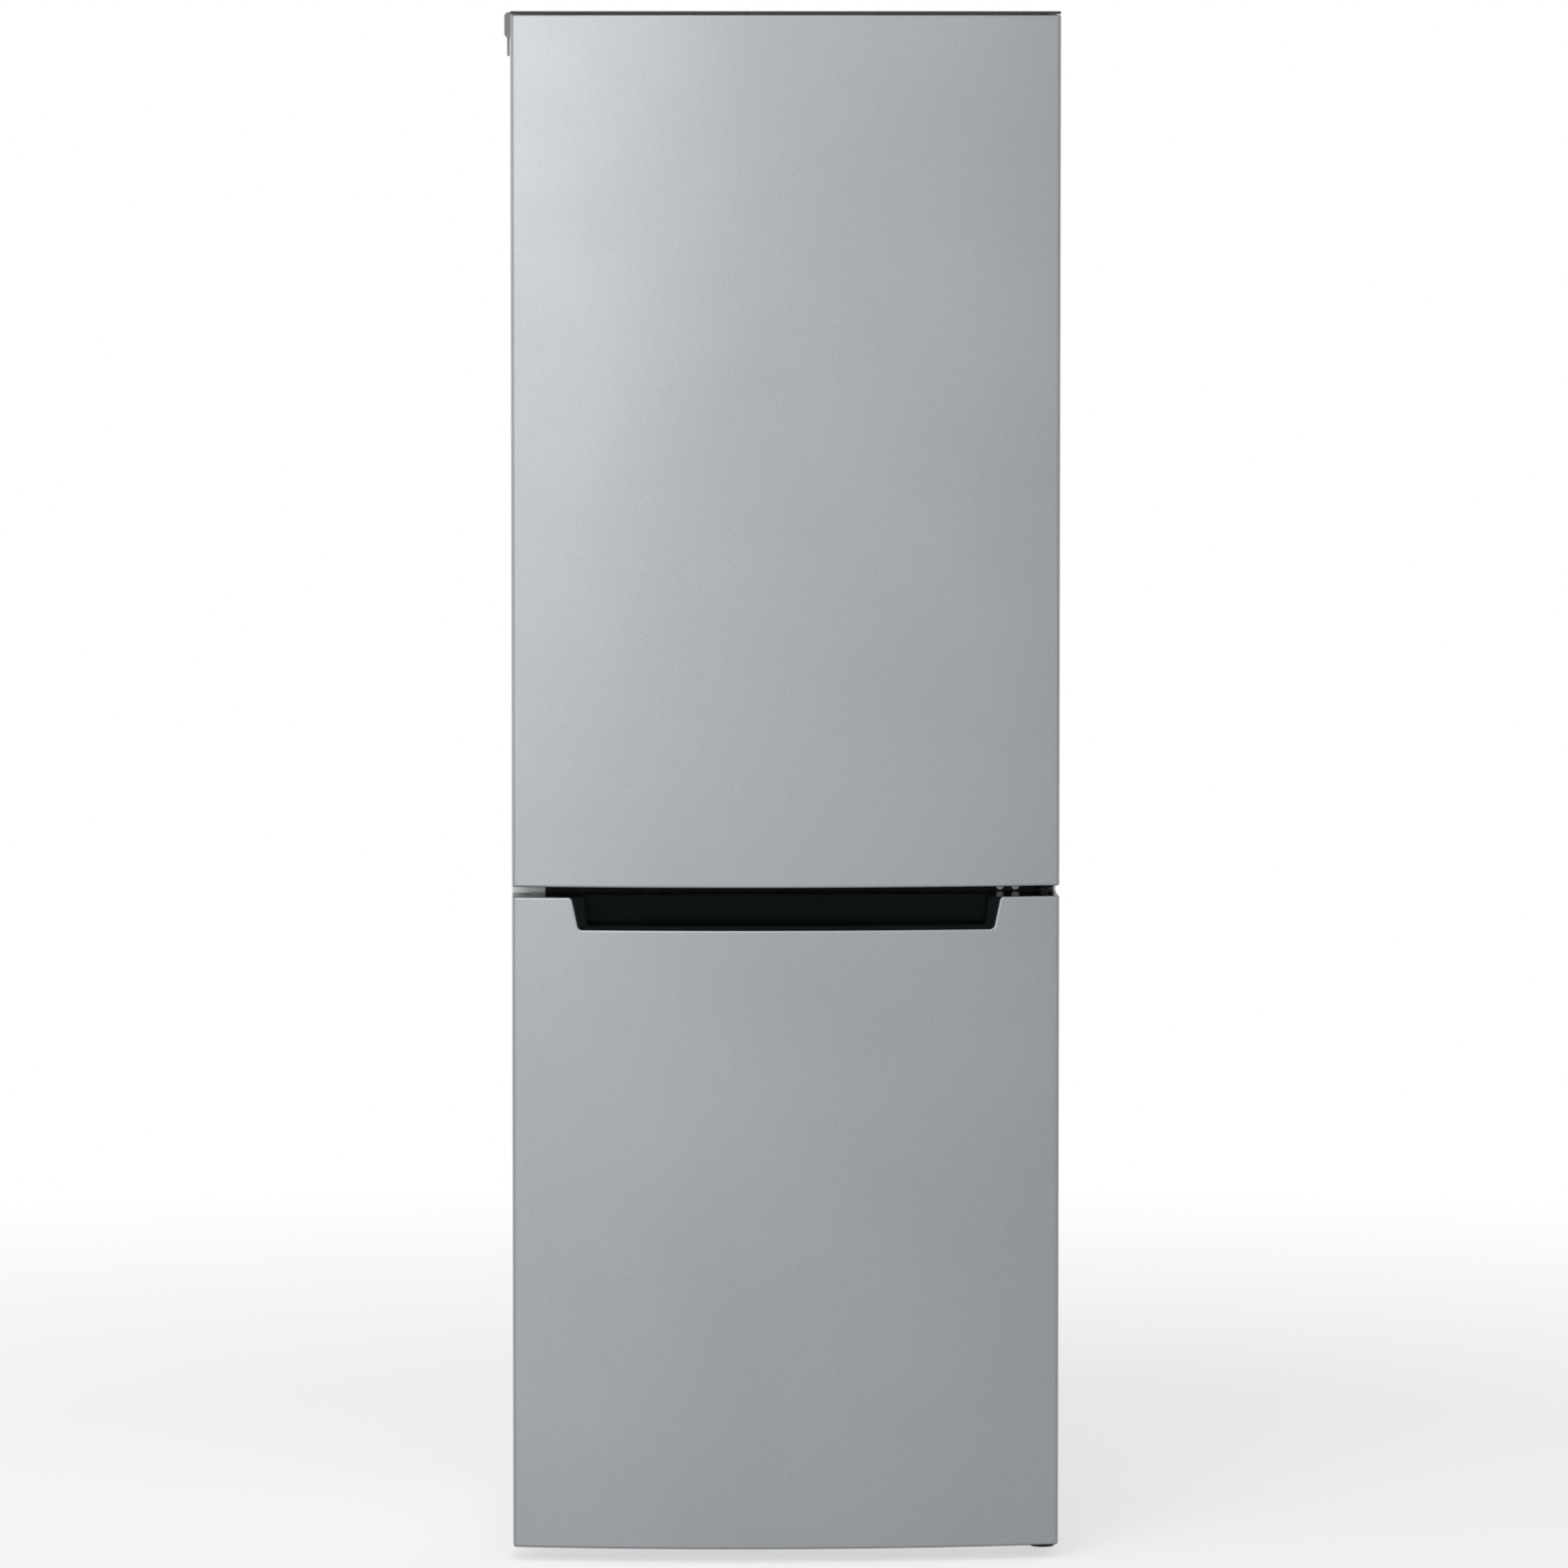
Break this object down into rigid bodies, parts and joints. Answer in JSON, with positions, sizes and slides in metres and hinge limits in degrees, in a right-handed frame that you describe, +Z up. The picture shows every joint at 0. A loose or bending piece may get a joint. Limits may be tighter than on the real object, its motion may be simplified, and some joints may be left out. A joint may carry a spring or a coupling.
{
  "type": "bottom freezer refrigerator",
  "caption": "Upright refrigerator with a hinged door on a fridge space above a hinged freezer door with drawers, and a recessed handle pocket between.",
  "frame": {"origin": "on the floor, under the middle of the whole width and depth", "axes": "+X right, -Y front with the doors, +Z up"},
  "size_m": [0.612, 0.6249, 1.7],
  "materials": {
    "cabinet_paint": "pale grey baked enamel",
    "door_paint": "silver metallic paint on steel",
    "galvanised_steel": "galvanised sheet",
    "hinge_steel": "zinc plated steel",
    "motor_steel": "satin",
    "evaporator_metal": "mill finish",
    "black_enamel": "black enamel",
    "copper_tube": "bare copper",
    "seal_rubber": "soft dark grey",
    "black_rubber": "black",
    "foot_plastic": "black moulded",
    "black_plastic": "glossy black moulded",
    "cap_plastic": "black moulded",
    "cover_plastic": "dark grey moulded",
    "rail_plastic": "mid grey moulded",
    "white_plastic": "white moulded",
    "trim_plastic": "white moulded",
    "insulation": "rigid polyurethane foam",
    "shelf_glass": "toughened",
    "clear_plastic": "clear moulded polystyrene"
  },
  "bodies": {
    "cabinet": {"outer_shell": "cabinet_paint", "rear_panel": "galvanised_steel", "base_pan": "galvanised_steel", "hinge_screws": "hinge_steel", "fan_motor": "motor_steel", "evaporator": "evaporator_metal", "condenser": "black_enamel", "compressor": "black_enamel", "mullion_rail": "black_enamel", "top_hinge": "black_enamel", "middle_hinge": "black_enamel", "bottom_hinge": "black_enamel", "refrigerant_tubes": "copper_tube", "compressor_grommets": "black_rubber", "cable_gland": "black_rubber", "top_cover": "cover_plastic", "rear_top_rail": "rail_plastic", "fridge_liner": "white_plastic", "freezer_liner": "white_plastic", "fridge_air_duct": "white_plastic", "control_box": "white_plastic", "freezer_air_cover": "white_plastic", "drip_tray": "white_plastic", "shelf_1_trim": "trim_plastic", "shelf_2_trim": "trim_plastic", "shelf_3_trim": "trim_plastic", "crisper_cover_trim": "trim_plastic", "insulation_foam": "insulation", "shelf_1_glass": "shelf_glass", "shelf_2_glass": "shelf_glass", "shelf_3_glass": "shelf_glass", "crisper_cover_glass": "shelf_glass", "lamp_lens": "clear_plastic"},
    "upper_door": {"upper_door_skin": "door_paint", "upper_door_top_cap": "cap_plastic", "upper_door_bottom_cap": "cap_plastic", "upper_door_foam": "insulation", "upper_door_liner": "white_plastic", "upper_door_gasket": "seal_rubber"},
    "lower_door": {"lower_door_skin": "door_paint", "lower_door_handle_cap": "black_plastic", "lower_door_bottom_cap": "cap_plastic", "lower_door_foam": "insulation", "lower_door_liner": "white_plastic", "lower_door_gasket": "seal_rubber"},
    "dairy_bin": {"dairy_bin": "clear_plastic"},
    "dairy_lid": {"dairy_lid": "clear_plastic"},
    "middle_bin": {"middle_bin": "clear_plastic"},
    "bottle_bin": {"bottle_bin": "clear_plastic"},
    "crisper_left": {"crisper_left": "clear_plastic"},
    "crisper_right": {"crisper_right": "clear_plastic"},
    "freezer_drawer_top": {"freezer_drawer_top": "clear_plastic"},
    "freezer_drawer_middle": {"freezer_drawer_middle": "clear_plastic"},
    "freezer_drawer_bottom": {"freezer_drawer_bottom": "clear_plastic"},
    "fan_blades": {"fan_blades": "white_plastic"},
    "thermostat_knob": {"thermostat_knob": "trim_plastic"},
    "foot_left": {"foot_left": "foot_plastic"},
    "foot_right": {"foot_right": "foot_plastic"},
    "roller_left": {"roller_left": "foot_plastic"},
    "roller_right": {"roller_right": "foot_plastic"}
  },
  "joints": [
    {"name": "upper_door_hinge", "type": "hinge", "parent": "cabinet", "child": "upper_door", "pos_m": [0.284, -0.256, 1.22], "axis": [0, 0, 1], "range_deg": [0, 130]},
    {"name": "lower_door_hinge", "type": "hinge", "parent": "cabinet", "child": "lower_door", "pos_m": [0.284, -0.256, 0.374], "axis": [0, 0, 1], "range_deg": [0, 130]},
    {"name": "crisper_left_slide", "type": "slide", "parent": "cabinet", "child": "crisper_left", "axis": [0, -1, 0], "range_m": [0, 0.1805]},
    {"name": "crisper_right_slide", "type": "slide", "parent": "cabinet", "child": "crisper_right", "axis": [0, -1, 0], "range_m": [0, 0.1805]},
    {"name": "freezer_drawer_top_slide", "type": "slide", "parent": "cabinet", "child": "freezer_drawer_top", "axis": [0, -1, 0], "range_m": [0, 0.1805]},
    {"name": "freezer_drawer_middle_slide", "type": "slide", "parent": "cabinet", "child": "freezer_drawer_middle", "axis": [0, -1, 0], "range_m": [0, 0.1805]},
    {"name": "freezer_drawer_bottom_slide", "type": "slide", "parent": "cabinet", "child": "freezer_drawer_bottom", "axis": [0, -1, 0], "range_m": [0, 0.1205]},
    {"name": "dairy_bin_lift", "type": "slide", "parent": "upper_door", "child": "dairy_bin", "axis": [0, 0, 1], "range_m": [0, 0.016]},
    {"name": "middle_bin_lift", "type": "slide", "parent": "upper_door", "child": "middle_bin", "axis": [0, 0, 1], "range_m": [0, 0.016]},
    {"name": "bottle_bin_lift", "type": "slide", "parent": "upper_door", "child": "bottle_bin", "axis": [0, 0, 1], "range_m": [0, 0.016]},
    {"name": "dairy_lid_hinge", "type": "hinge", "parent": "dairy_bin", "child": "dairy_lid", "pos_m": [0, -0.2075, 1.503], "axis": [1, 0, 0], "range_deg": [0, 95]},
    {"name": "fan_spin", "type": "hinge", "parent": "cabinet", "child": "fan_blades", "pos_m": [0, 0, 0.64], "axis": [0, 1, 0], "continuous": true},
    {"name": "thermostat_turn", "type": "hinge", "parent": "cabinet", "child": "thermostat_knob", "pos_m": [0.06, -0.19, 1.6244], "axis": [0, 1, 0], "range_deg": [0, 270]},
    {"name": "foot_left_turn", "type": "hinge", "parent": "cabinet", "child": "foot_left", "pos_m": [-0.25, -0.1777, 0], "axis": [0, 0, 1], "continuous": true},
    {"name": "foot_right_turn", "type": "hinge", "parent": "cabinet", "child": "foot_right", "pos_m": [0.25, -0.1777, 0], "axis": [0, 0, 1], "continuous": true},
    {"name": "roller_left_turn", "type": "hinge", "parent": "cabinet", "child": "roller_left", "pos_m": [-0.25, 0.2495, 0.014], "axis": [1, 0, 0], "continuous": true},
    {"name": "roller_right_turn", "type": "hinge", "parent": "cabinet", "child": "roller_right", "pos_m": [0.25, 0.2495, 0.014], "axis": [1, 0, 0], "continuous": true}
  ],
  "couplings": [
    {"joint": "crisper_left_slide", "follows": "upper_door_hinge", "m_per_rad": 0.079333},
    {"joint": "crisper_right_slide", "follows": "upper_door_hinge", "m_per_rad": 0.079333},
    {"joint": "freezer_drawer_top_slide", "follows": "lower_door_hinge", "m_per_rad": 0.079333},
    {"joint": "freezer_drawer_middle_slide", "follows": "lower_door_hinge", "m_per_rad": 0.079333},
    {"joint": "freezer_drawer_bottom_slide", "follows": "lower_door_hinge", "m_per_rad": 0.052888}
  ]
}
